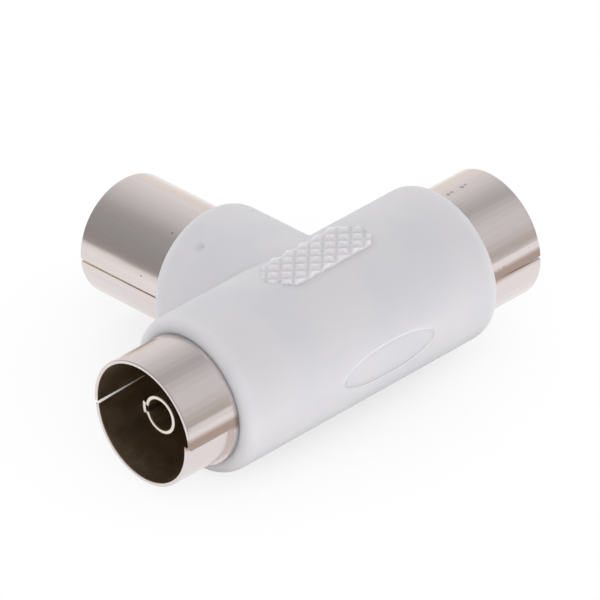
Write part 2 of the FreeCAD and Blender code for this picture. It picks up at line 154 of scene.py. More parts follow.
@dataclass(frozen=True)
class Layout:
    """Places that the finishes and pieces are worked out from, in metres."""

    crossing: Vector
    low: Vector
    high: Vector

    @classmethod
    def from_frame(cls, record: dict) -> "Layout":
        """Reads the crossing of the two axes from the mounts, and the whole part's box.

        Args:
            record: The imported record.

        Returns:
            The layout of this splitter.
        """
        place = {mount["name"]: mount["pos_m"] for mount in record["mounts"]}
        plug, contact = place["plug_shell"], place["contact_left"]
        low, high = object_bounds()
        return cls(Vector((plug[0], contact[1], contact[2])), Vector(low), Vector(high))

    def at(self, across: float, along: float, up: float) -> Vector:
        """The place that many millimetres from the crossing."""
        return self.crossing + Vector((across, along, up)) * MM

    def on_stem(self, place: Vector) -> bool:
        """Whether a place of the shells belongs to the stem."""
        return place.y - self.crossing.y > STEM_STARTS

    def axis_foot(self, place: Vector) -> Vector:
        """Finds the point of a tube's axis that a place stands over.

        Args:
            place: The place, in metres.

        Returns:
            The nearest point of the barrel's axis, or of the stem's for a place outside the barrel.
        """
        if self.on_stem(place):
            return Vector((self.crossing.x, place.y, self.crossing.z))
        return Vector((place.x, self.crossing.y, self.crossing.z))


@dataclass(frozen=True)
class Oval:
    """The bare, shallow oval on the barrel's front: its middle from the crossing, and half sizes."""

    across: float = 1.5 * MM
    up: float = -0.7 * MM
    half_length: float = 4.6 * MM
    half_height: float = 1.45 * MM
    floor_radius: float = 6.1 * MM
    # The floor is scored this often along its length, and faces this near its radius belong to it
    steps: int = 24
    tolerance: float = 0.03 * MM


# Finishes

class Finish:
    """A material made of nodes on Object coordinates, started from one Principled shader."""

    def __init__(self, name: str) -> None:
        """Makes the empty material with its shader, output and coordinates.

        Args:
            name: The material's name.
        """
        self.material = bpy.data.materials.new(name)
        self.material.use_nodes = True
        self.tree = self.material.node_tree
        self.tree.nodes.clear()
        self.place = self.add("ShaderNodeTexCoord").outputs["Object"]
        self.shader = self.add("ShaderNodeBsdfPrincipled")
        self.add("ShaderNodeOutputMaterial", links={"Surface": self.shader.outputs["BSDF"]})

    def add(self, kind: str, settings: dict | None = None, links: dict | None = None) -> bpy.types.Node:
        """Adds a node to this finish."""
        return add_node(self.tree, kind, settings, links)

    def feed(self, **sources: bpy.types.NodeSocket) -> None:
        """Links sources to the shader's inputs, whose names are written with underscores."""
        for name, source in sources.items():
            self.tree.links.new(source, self.shader.inputs[name.replace("_", " ")])

    def set(self, **values: float | tuple) -> None:
        """Sets the shader's own inputs, whose names are written with underscores."""
        for name, value in values.items():
            self.shader.inputs[name.replace("_", " ")].default_value = value

    def grained(self, size: float, detail: float, colours: tuple[str, str], roughness: tuple[float, float],
                relief: float = 0.0) -> None:
        """Gives the shader one fine grain in colour, roughness and, where wanted, relief.

        Args:
            size: The grain's size in metres.
            detail: How many finer layers of grain lie in it.
            colours: The two colours that it runs between.
            roughness: The roughness at each of them.
            relief: The height of its bumps in metres, or 0 for a flat grain.
        """
        grain = self.add("ShaderNodeTexNoise", {"Scale": 1 / size, "Detail": detail},
                         {"Vector": self.place}).outputs["Fac"]
        first, second = (linear(colour) for colour in colours)
        colour = self.add("ShaderNodeMix", {"data_type": "RGBA", 6: first, 7: second},
                          {0: grain}).outputs[2]
        gloss = self.add("ShaderNodeMapRange",
                         {1: NOISE_LOW, 2: NOISE_HIGH, 3: roughness[0], 4: roughness[1]},
                         {0: grain}).outputs[0]
        self.feed(Base_Color=colour, Roughness=gloss)
        if relief:
            bump = self.add("ShaderNodeBump", {"Strength": 1.0, "Distance": relief}, {"Height": grain})
            self.feed(Normal=bump.outputs["Normal"])


@dataclass(frozen=True)
class Spot:
    """A spot of dirt: where it is, how far it reaches and how much of it shows."""

    place: Vector
    reach: float
    strength: float


def spotted(finish: Finish, colour: bpy.types.NodeSocket, dirt: str, spots: tuple[Spot, ...]
            ) -> bpy.types.NodeSocket:
    """Lays spots of dirt over a colour.

    Args:
        finish: The finish that gets them.
        colour: The clean colour.
        dirt: The dirt's colour.
        spots: The spots.

    Returns:
        The spotted colour.
    """
    for spot in spots:
        away = finish.add("ShaderNodeVectorMath", {"operation": "DISTANCE", 1: spot.place},
                          {0: finish.place}).outputs["Value"]
        # A spot is full for the inner 0.3 of its reach
        shown = finish.add("ShaderNodeMapRange",
                           {"interpolation_type": "SMOOTHSTEP", 1: spot.reach * 0.3, 2: spot.reach,
                            3: spot.strength, 4: 0.0}, {0: away}).outputs[0]
        colour = finish.add("ShaderNodeMix", {"data_type": "RGBA", 7: linear(dirt)},
                            {0: shown, 6: colour}).outputs[2]
    return colour


class MouldedPlastic(Finish):
    """Soft PVC, injection-moulded over the shells: milky, with an eroded grain and faint flow clouds."""

    CLOUD_SIZE = 5 * MM
    GRAIN_SIZE = 0.12 * MM
    LINE_WIDTH = 0.07

    def __init__(self, layout: Layout, oval: Oval) -> None:
        """Makes the housing's finish, with the smudges that it has and the painted shade and highlight lines
        along its oval.

        Args:
            layout: The splitter's layout.
            oval: The oval on its front.
        """
        super().__init__("moulded_soft_pvc")
        clouds = self.add("ShaderNodeTexNoise", {"Scale": 1 / self.CLOUD_SIZE, "Detail": 2.0},
                          {"Vector": self.place}).outputs["Fac"]
        clouds = self.add("ShaderNodeMapRange", {"interpolation_type": "SMOOTHSTEP", 1: 0.35, 2: 0.65},
                          {0: clouds}).outputs[0]
        colour = self.add("ShaderNodeMix",
                          {"data_type": "RGBA", 6: linear("#d3d1d4"), 7: linear("#cfced2")},
                          {0: clouds}).outputs[2]
        colour = spotted(self, colour, "#6d6a68", (
            Spot(layout.at(-3.12, 8.61, 4.95), 0.55 * MM, 0.16),
            Spot(layout.at(-3.05, 8.4, 5.0), 0.2 * MM, 0.2),
            Spot(layout.at(3.99, 8.73, 4.38), 0.3 * MM, 0.75),
        ))
        # Painted shade: a dark line just outside the oval's upper left edge; painted highlight: a pale line
        # just inside it
        colour = self.painted_oval_edge_shading(layout, oval, colour, 1.03, "#a5a3a8", 0.45)
        colour = self.painted_oval_edge_shading(layout, oval, colour, 0.94, "#e6e4e6", 0.3)
        self.feed(Base_Color=colour)
        # Milky plastic lets light in for more than a millimetre, which softens the knurl
        self.set(IOR=1.5, Subsurface_Weight=1.0, Subsurface_Radius=(1.0, 0.95, 0.9),
                 Subsurface_Scale=1.4 * MM)
        # The eroded steel of the mould leaves a fine grain that dulls the plastic
        grain = self.add("ShaderNodeTexNoise", {"Scale": 1 / self.GRAIN_SIZE, "Detail": 2.0},
                         {"Vector": self.place}).outputs["Fac"]
        gloss = self.add("ShaderNodeMapRange", {1: NOISE_LOW, 2: NOISE_HIGH, 3: 0.58, 4: 0.68},
                         {0: grain}).outputs[0]
        bump = self.add("ShaderNodeBump", {"Strength": 1.0, "Distance": 0.003 * MM}, {"Height": grain})
        self.feed(Roughness=gloss, Normal=bump.outputs["Normal"])

    def painted_oval_edge_shading(self, layout: Layout, oval: Oval, colour: bpy.types.NodeSocket, size: float, tone: str,
                  strength: float) -> bpy.types.NodeSocket:
        """Draws a thin line along the upper left of the oval's edge: painted shade where its colour is dark,
        a painted highlight where it is pale.

        Args:
            layout: The splitter's layout.
            oval: The oval.
            colour: The colour so far.
            size: The line's place as a share of the oval's own size.
            tone: The line's colour, dark for painted shade and pale for a painted highlight.
            strength: How much of it shows.

        Returns:
            The colour with the line.
        """
        # The oval is flattened and scaled to a circle of radius 1
        scale = Vector((1 / oval.half_length, 0.0, 1 / oval.half_height))
        middle = layout.crossing + Vector((oval.across, 0.0, oval.up))
        flat = self.add("ShaderNodeMapping", {"Scale": scale, "Location": -middle * scale},
                        {"Vector": self.place}).outputs[0]
        radius = self.add("ShaderNodeVectorMath", {"operation": "LENGTH"}, {0: flat}).outputs["Value"]
        off = self.add("ShaderNodeMath", {"operation": "SUBTRACT", 1: size}, {0: radius}).outputs[0]
        off = self.add("ShaderNodeMath", {"operation": "ABSOLUTE"}, {0: off}).outputs[0]
        shown = self.add("ShaderNodeMapRange", {1: 0.0, 2: self.LINE_WIDTH, 3: strength, 4: 0.0},
                         {0: off}).outputs[0]
        parts = self.add("ShaderNodeSeparateXYZ", links={"Vector": flat}).outputs
        for axis, start, end in (("Z", 0.3, 0.75), ("X", 0.6, 0.1)):
            fade = self.add("ShaderNodeMapRange", {1: start, 2: end}, {0: parts[axis]}).outputs[0]
            shown = self.add("ShaderNodeMath", {"operation": "MULTIPLY"}, {0: shown, 1: fade}).outputs[0]
        depth = self.add("ShaderNodeSeparateXYZ", links={"Vector": self.place}).outputs["Y"]
        front = self.add("ShaderNodeMath", {"operation": "LESS_THAN", 1: layout.crossing.y - FRONT_STARTS},
                         {0: depth}).outputs[0]
        shown = self.add("ShaderNodeMath", {"operation": "MULTIPLY"}, {0: shown, 1: front}).outputs[0]
        return self.add("ShaderNodeMix", {"data_type": "RGBA", 7: linear(tone)},
                        {0: shown, 6: colour}).outputs[2]


class NickelPlate(Finish):
    """Nickel-plated steel sheet, rolled to a half shell: bright, slightly warm, with soft rolling waves."""

    # Waves and streaks are this many times as long as they are wide, along the axis of their own tube
    STRETCH = 30
    STREAK_WIDTH = 0.35 * MM
    WAVE_SIZE = 2.2 * MM
    # A brownish band about 1 mm wide darkens the sheet just above the barrel's front seam
    SEAM_BAND_MIDDLE = 0.25 * MM
    SEAM_BAND_CORE = 0.2 * MM
    SEAM_BAND_REACH = 0.75 * MM

    def __init__(self, layout: Layout) -> None:
        """Makes the outside of the shells, with streaks that run along barrel and stem.

        Args:
            layout: The splitter's layout.
        """
        super().__init__("nickel_plated_sheet")
        parts = self.add("ShaderNodeSeparateXYZ", links={"Vector": self.place}).outputs
        stem_starts = layout.crossing.y + STEM_STARTS
        on_stem = self.add("ShaderNodeMath", {"operation": "GREATER_THAN", 1: stem_starts},
                           {0: parts["Y"]}).outputs[0]
        barrel = self.add("ShaderNodeMapping", {"Scale": (1 / self.STRETCH, 1, 1)}, {"Vector": self.place})
        stem = self.add("ShaderNodeMapping", {"Scale": (1, 1 / self.STRETCH, 1)}, {"Vector": self.place})
        along = self.add("ShaderNodeMix", {"data_type": "VECTOR"},
                         {0: on_stem, 4: barrel.outputs[0], 5: stem.outputs[0]}).outputs[1]
        streaks = self.add("ShaderNodeTexNoise", {"Scale": 1 / self.STREAK_WIDTH, "Detail": 3.0},
                           {"Vector": along}).outputs["Fac"]
        colour = self.add("ShaderNodeMix",
                          {"data_type": "RGBA", 6: linear("#e4dbda"), 7: linear("#dbd1cf")},
                          {0: streaks}).outputs[2]
        colour = spotted(self, colour, "#3a302a", (
            Spot(layout.at(-4.62, 13.69, 1.09), 0.1 * MM, 0.7),
            Spot(layout.at(-2.29, 12.57, 4.16), 0.11 * MM, 0.6),
            Spot(layout.at(14.32, -5.02, 0.72), 0.12 * MM, 0.6),
            Spot(layout.at(13.62, -5.07, 0.2), 0.16 * MM, 0.5),
            Spot(layout.at(13.9, 0.1, 5.07), 0.22 * MM, 0.5),
            Spot(layout.at(14.3, 0.15, 5.07), 0.2 * MM, 0.45),
            Spot(layout.at(15.3, 0.1, 5.07), 0.24 * MM, 0.5),
            Spot(layout.at(15.7, 0.15, 5.07), 0.2 * MM, 0.4),
        ))
        # The brownish band above the front seam: whole near its middle line, gone at its reach, and only on
        # the front
        off = self.add("ShaderNodeMath", {"operation": "SUBTRACT", 1: layout.crossing.z + self.SEAM_BAND_MIDDLE},
                       {0: parts["Z"]}).outputs[0]
        off = self.add("ShaderNodeMath", {"operation": "ABSOLUTE"}, {0: off}).outputs[0]
        film = self.add("ShaderNodeMapRange", {"interpolation_type": "SMOOTHSTEP", 1: self.SEAM_BAND_CORE,
                                               2: self.SEAM_BAND_REACH, 3: 1.0, 4: 0.0}, {0: off}).outputs[0]
        front = self.add("ShaderNodeMath", {"operation": "LESS_THAN", 1: layout.crossing.y - FRONT_STARTS},
                         {0: parts["Y"]}).outputs[0]
        film = self.add("ShaderNodeMath", {"operation": "MULTIPLY"}, {0: film, 1: front}).outputs[0]
        colour = self.add("ShaderNodeMix", {"data_type": "RGBA", 7: linear("#a8948a")},
                          {0: film, 6: colour}).outputs[2]
        gloss = self.add("ShaderNodeMapRange", {1: NOISE_LOW, 2: NOISE_HIGH, 3: 0.17, 4: 0.23},
                         {0: streaks}).outputs[0]
        waves = self.add("ShaderNodeTexNoise", {"Scale": 1 / self.WAVE_SIZE, "Detail": 1.0},
                         {"Vector": self.place}).outputs["Fac"]
        bump = self.add("ShaderNodeBump", {"Strength": 1.0, "Distance": 0.02 * MM}, {"Height": waves})
        fine = self.add("ShaderNodeBump", {"Strength": 1.0, "Distance": 0.0015 * MM},
                        {"Height": streaks, "Normal": bump.outputs["Normal"]})
        self.set(Metallic=1.0)
        self.feed(Base_Color=colour, Roughness=gloss, Normal=fine.outputs["Normal"])


class TarnishedSheet(Finish):
    """The sheet's inside, where the plating is thin and dull: a brown film over grey steel."""

    def __init__(self) -> None:
        """Makes the inside of the shells and of the contacts."""
        super().__init__("tarnished_inside")
        # The film lies in blotches of about 1.5 mm, which make the inside dull and a little uneven
        self.grained(1.5 * MM, 4.0, ("#d8c6ae", "#cbb89f"), (0.3, 0.42))
        self.set(Metallic=1.0)


class CutEdgeHighlight(Finish):
    """The sheet's cut edge in a seam: sheared steel, coloured near white and not metallic as a painted
    highlight, so that it shows as a bright line.
    """

    def __init__(self) -> None:
        """Makes the finish of the seams that show their cut edge."""
        super().__init__("cut_edge_painted_highlight")
        # A painted highlight keeps the edge pale from every side; its grain is about 0.2 mm, like the burr's
        # teeth
        self.grained(0.2 * MM, 2.0, (WHITE, "#f4f2f2"), (0.35, 0.5))


class PlatedContact(Finish):
    """Nickel-plated brass, turned or rolled: bright, with the brass just warming it."""

    def __init__(self) -> None:
        """Makes the finish of the contacts and the pin."""
        super().__init__("plated_brass")
        # Marks of turning and rolling soften the gleam, drawn 0.1 mm wide because finer ones don't show
        self.grained(0.1 * MM, 3.0, ("#efe9e4", "#e2dad2"), (0.18, 0.28), relief=0.001 * MM)
        self.set(Metallic=1.0)


class BrownInsulator(Finish):
    """Resin-bonded paper board, as such beads are punched from: brown, semi-matte and faintly fibrous."""

    def __init__(self) -> None:
        """Makes the insulating beads' finish."""
        super().__init__("brown_insulator")
        # Paper fibres of about 0.3 mm break up the brown and keep it from shining
        self.grained(0.3 * MM, 4.0, ("#4a3829", "#3e2f22"), (0.42, 0.58), relief=0.004 * MM)
        self.set(IOR=1.55)


class StampedBrass(Finish):
    """Plain stamped brass strip: yellow, and dull from handling."""

    def __init__(self) -> None:
        """Makes the finish of the strip inside."""
        super().__init__("stamped_brass")
        # Marks of handling dull the yellow, drawn 0.1 mm wide because finer ones don't show
        self.grained(0.1 * MM, 3.0, ("#c9a45c", "#b8924d"), (0.3, 0.42))
        self.set(Metallic=1.0)


# Tools for pieces that are worked copies of CAD nodes

def merged_copy(node: bpy.types.Object, name: str) -> bpy.types.Object:
    """Copies a CAD node's mesh, merges its loose triangles and clears the lines across its flat faces.

    Args:
        node: The CAD node.
        name: The copy's name.

    Returns:
        The copy, selected and active in object mode.
    """
    bpy.ops.object.select_all(action="DESELECT")
    copy = bpy.data.objects.new(name, node.data.copy())
    bpy.context.scene.collection.objects.link(copy)
    copy.select_set(True)
    bpy.context.view_layer.objects.active = copy
    bpy.ops.object.mode_set(mode="EDIT")
    bpy.ops.mesh.select_all(action="SELECT")
    bpy.ops.mesh.customdata_custom_splitnormals_clear()
    bpy.ops.mesh.remove_doubles(threshold=WELD)
    bpy.ops.mesh.dissolve_limited(angle_limit=math.radians(FLAT_BEND))
    bpy.ops.mesh.vert_connect_concave()
    bpy.ops.object.mode_set(mode="OBJECT")
    return copy


def bend(edge: bmesh.types.BMEdge) -> float:
    """The angle in degrees between an edge's two faces, positive where the edge stands out."""
    return math.degrees(edge.calc_face_angle_signed(0.0)) if len(edge.link_faces) == 2 else 0.0


def soften(piece: bpy.types.Object, width: float, segments: int,
           wanted: Callable[[bmesh.types.BMEdge], bool]) -> None:
    """Rounds the edges of a piece that pass a test.

    Args:
        piece: The piece.
        width: How far the round reaches into the faces beside an edge.
        segments: How many faces make the round.
        wanted: The test of an edge.
    """
    bpy.context.view_layer.objects.active = piece
    bpy.ops.object.mode_set(mode="EDIT")
    bpy.ops.mesh.select_mode(type="EDGE")
    bpy.ops.mesh.select_all(action="DESELECT")
    mesh = bmesh.from_edit_mesh(piece.data)
    chosen = [edge for edge in mesh.edges if wanted(edge)]
    for edge in chosen:
        edge.select_set(True)
    bmesh.update_edit_mesh(piece.data)
    if chosen:
        bpy.ops.mesh.bevel(offset=width, segments=segments, profile=0.5, clamp_overlap=False)
    bpy.ops.object.mode_set(mode="OBJECT")
    LOG.info("%s: %d edges rounded by %.2f mm", piece.name, len(chosen), width / MM)


def score(piece: bpy.types.Object, place: Vector, across: Vector,
          wanted: Callable[[bmesh.types.BMFace], bool] = lambda face: True) -> None:
    """Cuts a piece's faces along a plane, so that shading beyond the cut doesn't reach back past it.

    Args:
        piece: The piece.
        place: A point of the plane.
        across: The plane's normal.
        wanted: The test of a face that may be cut.
    """
    bpy.context.view_layer.objects.active = piece
    bpy.ops.object.mode_set(mode="EDIT")
    bpy.ops.mesh.select_mode(type="FACE")
    bpy.ops.mesh.select_all(action="DESELECT")
    mesh = bmesh.from_edit_mesh(piece.data)
    for face in mesh.faces:
        face.select_set(wanted(face))
    bmesh.update_edit_mesh(piece.data)
    bpy.ops.mesh.bisect(plane_co=place, plane_no=across)
    bpy.ops.object.mode_set(mode="OBJECT")


def smooth(piece: bpy.types.Object, least_bend: float) -> None:
    """Shades a piece smoothly and keeps its sharper edges.

    Args:
        piece: The piece.
        least_bend: The bend in degrees from which an edge stays sharp.
    """
    bpy.ops.object.select_all(action="DESELECT")
    piece.select_set(True)
    bpy.context.view_layer.objects.active = piece
    bpy.ops.object.shade_smooth_by_angle(angle=math.radians(least_bend))


def dress(piece: bpy.types.Object, *finishes: Finish) -> None:
    """Gives a piece its finishes.

    Args:
        piece: The piece.
        finishes: The finishes, the first of them for all faces that aren't given another.
    """
    piece.data.materials.clear()
    for finish in finishes:
        piece.data.materials.append(finish.material)
    LOG.info("%s: %s", piece.name, ", ".join(finish.material.name for finish in finishes))


def stand_for(piece: bpy.types.Object, node: str) -> None:
    """Hides the CAD node that a piece replaces and puts the piece on the splitter's one body.

    Args:
        piece: The piece.
        node: The CAD node that it replaces.
    """
    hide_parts(node)
    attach(piece, "root")


# Sub-assemblies

@dataclass(frozen=True)
class OpenEnd:
    """One of the moulding's three ends: its middle, the way it faces, and the radii of its wall."""

    middle: Vector
    outwards: Vector
    outer: float
    bore: float

    def reach(self, place: Vector) -> float:
        """How far a place lies beyond the end's plane, along the way that it faces."""
        return (place - self.middle).dot(self.outwards)

    def radius(self, place: Vector) -> float:
        """How far a place lies from the end's axis."""
        return (place - self.middle - self.reach(place) * self.outwards).length


@dataclass(frozen=True)
class MouldedBody:
    """The moulding, with its three ends rounded and its knurl softened. Sizes in metres."""

    barrel_radius: float = 6.2 * MM
    barrel_bore: float = 5.075 * MM
    stem_radius: float = 5.85 * MM
    stem_bore: float = 4.75 * MM
    end_round: float = 1.0 * MM
    round_steps: int = 8
    # A cut this far behind the round keeps its shading off the long walls
    hold: float = 0.1 * MM
    # Faces nearer the bore than this belong to it and stay
    bore_margin: float = 0.05 * MM
    oval: Oval = Oval()
    knurl_floor: float = 5.6 * MM
    knurl_top: float = 6.7 * MM
    # The knurl's facets are smaller than this, and their corners lie this far off the barrel's surface
    facet_area: float = 0.35 * MM * MM
    off_barrel: float = 0.012 * MM
    sharp_bend: float = 25

    def build(self, nodes: dict[str, bpy.types.Object], layout: Layout) -> None:
        """Makes the softened housing.

        Args:
            nodes: The CAD nodes' objects by name.
            layout: The splitter's layout.
        """
        housing = merged_copy(nodes["moulded_housing"], "soft_housing")
        low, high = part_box("moulded_housing")
        cross = layout.crossing
        barrel, stem = (self.barrel_radius, self.barrel_bore), (self.stem_radius, self.stem_bore)
        for end in (
            OpenEnd(Vector((low.x, cross.y, cross.z)), Vector((-1, 0, 0)), *barrel),
            OpenEnd(Vector((high.x, cross.y, cross.z)), Vector((1, 0, 0)), *barrel),
            OpenEnd(Vector((cross.x, high.y, cross.z)), Vector((0, 1, 0)), *stem),
        ):
            self.round_end(housing, end)
        # Narrow faces let the oval's curved floor shade evenly
        for step in range(1, self.oval.steps):
            along = self.oval.across + (2 * step / self.oval.steps - 1) * self.oval.half_length
            score(housing, cross + Vector((along, 0, 0)), Vector((1, 0, 0)),
                  lambda face: self.in_oval(face, cross))
        smooth(housing, self.sharp_bend)
        self.soften_knurl(housing, layout)
        dress(housing, MouldedPlastic(layout, self.oval))
        stand_for(housing, "moulded_housing")

    def in_oval(self, face: bmesh.types.BMFace, cross: Vector) -> bool:
        """Tells a face of the oval's floor.

        Args:
            face: A face of the housing.
            cross: The crossing of the axes.

        Returns:
            Whether the face is part of the floor.
        """
        place = face.calc_center_median() - cross
        place.x = 0
        off_floor = abs(place.length - self.oval.floor_radius)
        return place.y < -self.barrel_radius / 2 and off_floor < self.oval.tolerance

    def soften_knurl(self, housing: bpy.types.Object, layout: Layout) -> None:
        """Lets the knurl's small facets shade into each other, as they do on a worn soft moulding.

        Args:
            housing: The housing.
            layout: The splitter's layout.
        """
        bpy.ops.object.mode_set(mode="EDIT")
        mesh = bmesh.from_edit_mesh(housing.data)
        for edge in mesh.edges:
            small = all(face.calc_area() < self.facet_area for face in edge.link_faces)
            radii = [(vert.co - layout.axis_foot(vert.co)).length for vert in edge.verts]
            on_knurl = all(self.knurl_floor < radius < self.knurl_top
                           and abs(radius - self.barrel_radius) > self.off_barrel for radius in radii)
            if small and on_knurl:
                edge.smooth = True
        bmesh.update_edit_mesh(housing.data)
        bpy.ops.object.mode_set(mode="OBJECT")

    def round_end(self, housing: bpy.types.Object, end: OpenEnd) -> None:
        """Takes an end's chamfered wall away and draws it in again as a quarter round.

        Args:
            housing: The housing.
            end: The end.
        """
        for inset in (self.end_round, self.end_round + self.hold):
            score(housing, end.middle - inset * end.outwards, end.outwards)
        bpy.ops.object.mode_set(mode="EDIT")
        bpy.ops.mesh.select_mode(type="FACE")
        bpy.ops.mesh.select_all(action="DESELECT")
        mesh = bmesh.from_edit_mesh(housing.data)
        for face in mesh.faces:
            place = face.calc_center_median()
            beyond = end.reach(place) > -self.end_round
            face.select_set(beyond and (end.radius(place) > end.bore + self.bore_margin
                                        or face.normal.dot(end.outwards) > FACES_ALONG))
        bmesh.update_edit_mesh(housing.data)
        bpy.ops.mesh.delete(type="FACE")
        bpy.ops.mesh.select_mode(type="EDGE")
        mesh = bmesh.from_edit_mesh(housing.data)
        for edge in mesh.edges:
            edge.select_set(edge.is_boundary and all(
                abs(end.reach(vert.co) + self.end_round) < NEAR for vert in edge.verts))
        bmesh.update_edit_mesh(housing.data)
        radius, reach = end.outer, -self.end_round
        for step in range(1, self.round_steps + 1):
            angle = math.pi / 2 * step / self.round_steps
            new_radius = end.outer - self.end_round * (1 - math.cos(angle))
            new_reach = self.end_round * (math.sin(angle) - 1)
            bpy.ops.mesh.extrude_region_move(
                TRANSFORM_OT_translate={"value": (new_reach - reach) * end.outwards})
            shrink = new_radius / radius
            factors = tuple(1.0 if abs(part) > FACES_ALONG else shrink for part in end.outwards)
            bpy.ops.transform.resize(value=factors, center_override=end.middle)
            radius, reach = new_radius, new_reach
        mesh = bmesh.from_edit_mesh(housing.data)
        for edge in mesh.edges:
            edge.select_set(edge.is_boundary)
        bmesh.update_edit_mesh(housing.data)
        bpy.ops.mesh.bridge_edge_loops()
        bpy.ops.object.mode_set(mode="OBJECT")


@dataclass(frozen=True)
class HalfShells:
    """The two stamped half shells, with their rims broken. Sizes in metres, bends in degrees."""

    edge_round: float = 0.07 * MM
    round_steps: int = 3
    # A cut this far behind the rim keeps its shading off the long walls
    hold: float = 0.15 * MM
    rim_bend: float = 60
    sharp_bend: float = 40
    # A face counts as inside where this share of its normal points to the axis
    inside_share: float = 0.8
    names: tuple[str, ...] = ("shield_upper", "shield_lower")

    def build(self, nodes: dict[str, bpy.types.Object], layout: Layout) -> None:
        """Makes both half shells, bright outside and dull inside.

        Args:
            nodes: The CAD nodes' objects by name.
            layout: The splitter's layout.
        """
        # The cut edge's finish is a painted highlight
        plate, tarnish, cut = NickelPlate(layout), TarnishedSheet(), CutEdgeHighlight()
        for name in self.names:
            shell = merged_copy(nodes[name], f"plated_{name}")
            for end, outwards in ((layout.low, Vector((-1, 0, 0))), (layout.high, Vector((1, 0, 0))),
                                  (layout.high, Vector((0, 1, 0)))):
                score(shell, end - self.hold * outwards, outwards)
            soften(shell, self.edge_round, self.round_steps, lambda edge: self.is_rim(edge, layout))
            smooth(shell, self.sharp_bend)
            dress(shell, plate, tarnish, cut)
            self.dull_inside(shell, layout)
            stand_for(shell, name)

    def is_rim(self, edge: bmesh.types.BMEdge, layout: Layout) -> bool:
        """Tells an edge of one of the three open ends.

        Args:
            edge: An edge of a half shell.
            layout: The splitter's layout.

        Returns:
            Whether the edge runs round an end.
        """
        places = [vert.co for vert in edge.verts]
        return bend(edge) > self.rim_bend and any(
            all(abs(getattr(place, axis) - end) < NEAR for place in places)
            for axis, end in (("x", layout.low.x), ("x", layout.high.x), ("y", layout.high.y))
        )

    def dull_inside(self, shell: bpy.types.Object, layout: Layout) -> None:
        """Gives the second finish to the insides and the stem's seams, and the third, the cut edge's painted
        highlight, to the back seams.

        Args:
            shell: A half shell.
            layout: The splitter's layout.
        """
        for face in shell.data.polygons:
            inwards = (layout.axis_foot(face.center) - face.center).normalized()
            on_stem = layout.on_stem(face.center)
            along = Vector((0, 1, 0)) if on_stem else Vector((1, 0, 0))
            inside = face.normal.dot(inwards) > self.inside_share
            in_seam = all(abs(face.normal.dot(way)) < FACES_ALONG for way in (inwards, along))
            if inside or in_seam and on_stem:
                face.material_index = 1
            elif in_seam and face.center.y > layout.crossing.y:
                # The back seams' cut edges take the painted highlight
                face.material_index = 2


@dataclass(frozen=True)
class Conductors:
    """The two rolled contacts and the turned pin, with rounded leading edges. Sizes in metres."""

    lead_in: float = 0.06 * MM
    round_steps: int = 3
    # A cut this far behind the mouth keeps its shading off the long walls
    hold: float = 0.15 * MM
    hole: float = 1.3 * MM
    mouth_bend: float = 60
    sharp_bend: float = 40

    def build(self, nodes: dict[str, bpy.types.Object], layout: Layout) -> None:
        """Makes both contacts and dresses the pin.

        Args:
            nodes: The CAD nodes' objects by name.
            layout: The splitter's layout.
        """
        plated, dull = PlatedContact(), TarnishedSheet()
        for name, tip in (("contact_left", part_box("contact_left")[0].x),
                          ("contact_right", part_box("contact_right")[1].x)):
            contact = merged_copy(nodes[name], f"rolled_{name}")
            inwards = math.copysign(self.hold, layout.crossing.x - tip)
            score(contact, Vector((tip + inwards, 0, 0)), Vector((1, 0, 0)))
            soften(contact, self.lead_in, self.round_steps,
                   lambda edge, tip=tip: bend(edge) > self.mouth_bend and all(
                       abs(vert.co.x - tip) < NEAR for vert in edge.verts))
            smooth(contact, self.sharp_bend)
            dress(contact, plated, dull)
            for face in contact.data.polygons:
                radius = face.center - layout.crossing
                radius.x = 0
                if radius.length < self.hole and face.normal.dot(radius) < 0:
                    face.material_index = 1
            stand_for(contact, name)
        dress(nodes["plug_pin"], plated)


@dataclass(frozen=True)
class Insides:
    """The beads and the strip, whose CAD nodes stay and only get their finish."""

    beads: tuple[str, ...] = ("bead_left", "bead_right", "bead_plug")

    def build(self, nodes: dict[str, bpy.types.Object]) -> None:
        """Dresses the pieces inside.

        Args:
            nodes: The CAD nodes' objects by name.
        """
        insulator = BrownInsulator()
        for name in self.beads:
            dress(nodes[name], insulator)
        dress(nodes["centre_strip"], StampedBrass())


# Camera and studio

@dataclass(frozen=True)
class PhotoCamera:
    """The photograph's viewpoint: angles about the crossing of the axes, and its place in the picture."""

    azimuth: float = -41.716
    elevation: float = 31.712
    roll: float = -3.633
    distance: float = 654.64 * MM
    focal_pixels: float = 9000.0
    crossing_across: float = 316.06
    crossing_down: float = 329.047
    nearest: float = 0.01
    furthest: float = 20

    def build(self, crossing: Vector) -> None:
        """Sets up the camera.

        Args:
            crossing: The crossing of the axes, in metres.
        """
        turn, rise, lean = (math.radians(angle) for angle in (self.azimuth, self.elevation, self.roll))
        back = Vector((math.sin(turn) * math.cos(rise), -math.cos(turn) * math.cos(rise),
                       math.sin(rise)))
        level = Vector((math.cos(turn), math.sin(turn), 0))
        upright = back.cross(level)
        right = math.cos(lean) * level + math.sin(lean) * upright
        top = math.cos(lean) * upright - math.sin(lean) * level
        middle = IMAGE_PIXELS / 2
        across = (self.crossing_across - middle) / self.focal_pixels * self.distance
        down = (self.crossing_down - middle) / self.focal_pixels * self.distance
        place = crossing + back * self.distance - right * across + top * down
        data = bpy.data.cameras.new("photo_camera")
        data.sensor_width = SENSOR_MM
        data.lens = self.focal_pixels / IMAGE_PIXELS * SENSOR_MM
        data.clip_start = self.nearest
        data.clip_end = self.furthest
        camera = bpy.data.objects.new("photo_camera", data)
        facing = Matrix((right, top, back)).transposed().to_4x4()
        camera.matrix_world = Matrix.Translation(place) @ facing
        bpy.context.scene.collection.objects.link(camera)
        bpy.context.scene.camera = camera


